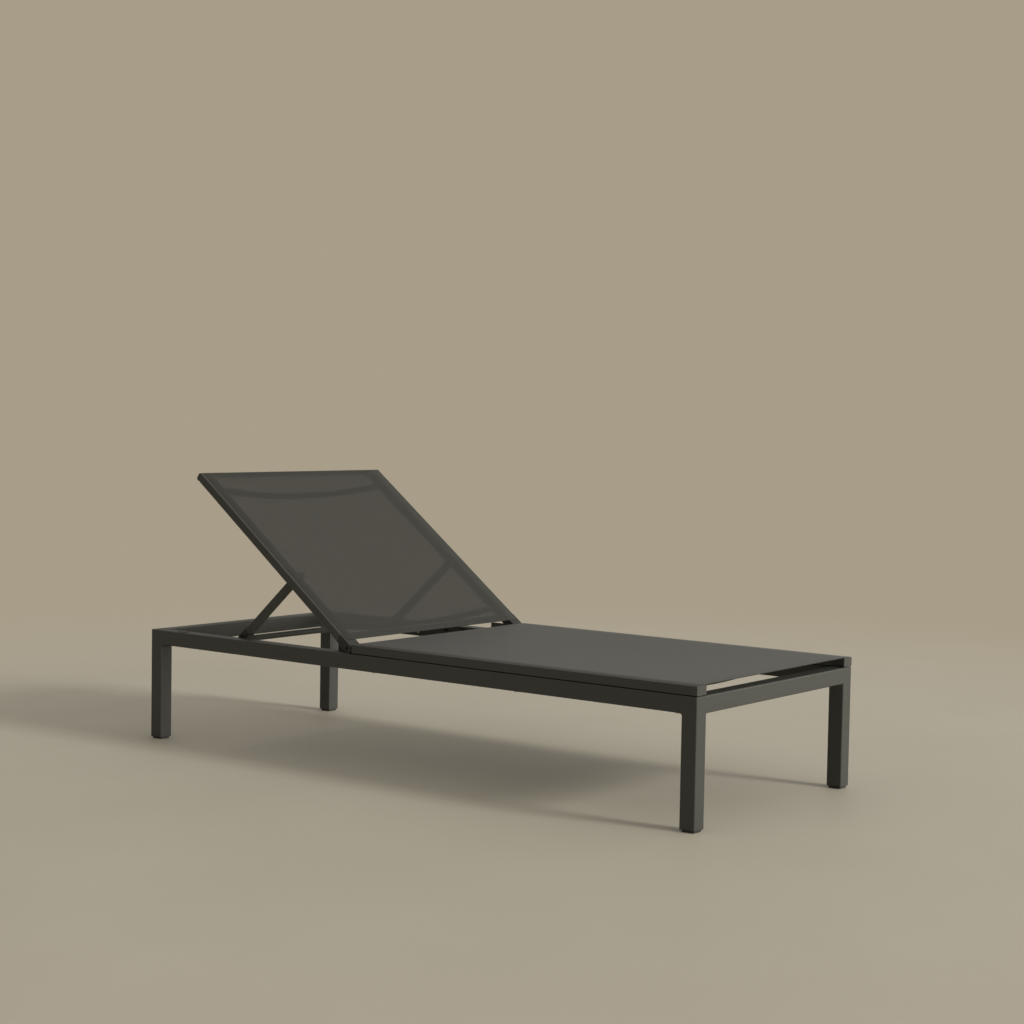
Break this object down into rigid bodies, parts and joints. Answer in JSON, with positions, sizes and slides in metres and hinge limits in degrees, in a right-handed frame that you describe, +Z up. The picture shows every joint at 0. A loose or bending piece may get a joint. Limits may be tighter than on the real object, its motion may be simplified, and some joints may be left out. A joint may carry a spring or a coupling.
{
  "type": "reclining sun lounger",
  "caption": "Low four-legged sun lounger with a mesh sling seat and a mesh sling backrest that tilts on a hinge and is propped by a U-shaped stay.",
  "frame": {"origin": "on the floor, at the centre of the base frame's footprint", "axes": "+X from the head end to the foot end, +Z up; the user's right hand is on the -Y side"},
  "size_m": [2, 0.8, 0.8333],
  "materials": {
    "powder_coat": "matt charcoal powder coat on aluminium, fine texture",
    "cap_plastic": "moulded charcoal plastic, fine grain",
    "black_nylon": "black moulded nylon, slightly satin",
    "sling_mesh": "open weave of coated polyester yarn, charcoal",
    "zinc_steel": "zinc plated steel",
    "black_steel": "blackened steel bolts"
  },
  "bodies": {
    "base": {"leg_head_right": "powder_coat", "leg_head_left": "powder_coat", "leg_foot_right": "powder_coat", "leg_foot_left": "powder_coat", "leg_caps": "powder_coat", "pad_head_right": "black_nylon", "pad_head_left": "black_nylon", "pad_foot_right": "black_nylon", "pad_foot_left": "black_nylon", "side_rail_right": "powder_coat", "side_rail_left": "powder_coat", "head_rail": "powder_coat", "foot_rail": "powder_coat", "corner_gussets": "powder_coat", "back_buffers": "black_nylon", "seat_rail_right": "powder_coat", "seat_rail_left": "powder_coat", "seat_caps_foot": "cap_plastic", "seat_caps_head": "cap_plastic", "seat_splines": "black_nylon", "seat_spreader_head": "powder_coat", "seat_spreader_foot": "powder_coat", "seat_sling": "sling_mesh", "deck_spacers": "black_nylon", "deck_bolts": "zinc_steel", "rivet_nuts": "zinc_steel", "hinge_plate_right": "powder_coat", "hinge_plate_left": "powder_coat", "hinge_plate_screws": "zinc_steel", "hinge_bolt_right": "black_steel", "hinge_bolt_left": "black_steel", "hinge_washers": "black_nylon", "hinge_nuts": "zinc_steel", "rack_right": "black_nylon", "rack_left": "black_nylon", "rack_screws": "zinc_steel"},
    "backrest": {"back_rail_right": "powder_coat", "back_rail_left": "powder_coat", "hinge_block_right": "black_nylon", "hinge_block_left": "black_nylon", "back_caps": "cap_plastic", "back_splines": "black_nylon", "back_spreader_low": "powder_coat", "back_spreader_top": "powder_coat", "back_sling": "sling_mesh", "stay_rivet_nuts": "zinc_steel", "stay_bolt_right": "black_steel", "stay_bolt_left": "black_steel", "stay_spacers": "black_nylon"},
    "stay": {"stay_strut_right": "powder_coat", "stay_strut_left": "powder_coat", "stay_bar": "powder_coat", "stay_shoe_right": "black_nylon", "stay_shoe_left": "black_nylon", "stay_bush_right": "black_nylon", "stay_bush_left": "black_nylon"}
  },
  "joints": [
    {"name": "back_recline", "type": "hinge", "parent": "base", "child": "backrest", "pos_m": [-0.17, 0, 0.3545], "axis": [0, 1, 0], "range_deg": [-37, 33]},
    {"name": "stay_swing", "type": "hinge", "parent": "backrest", "child": "stay", "pos_m": [-0.41917, 0, 0.54227], "axis": [0, 1, 0], "range_deg": [-66, 74]}
  ],
  "couplings": [
    {"joint": "stay_swing", "follows": "back_recline", "ratio": -2}
  ]
}
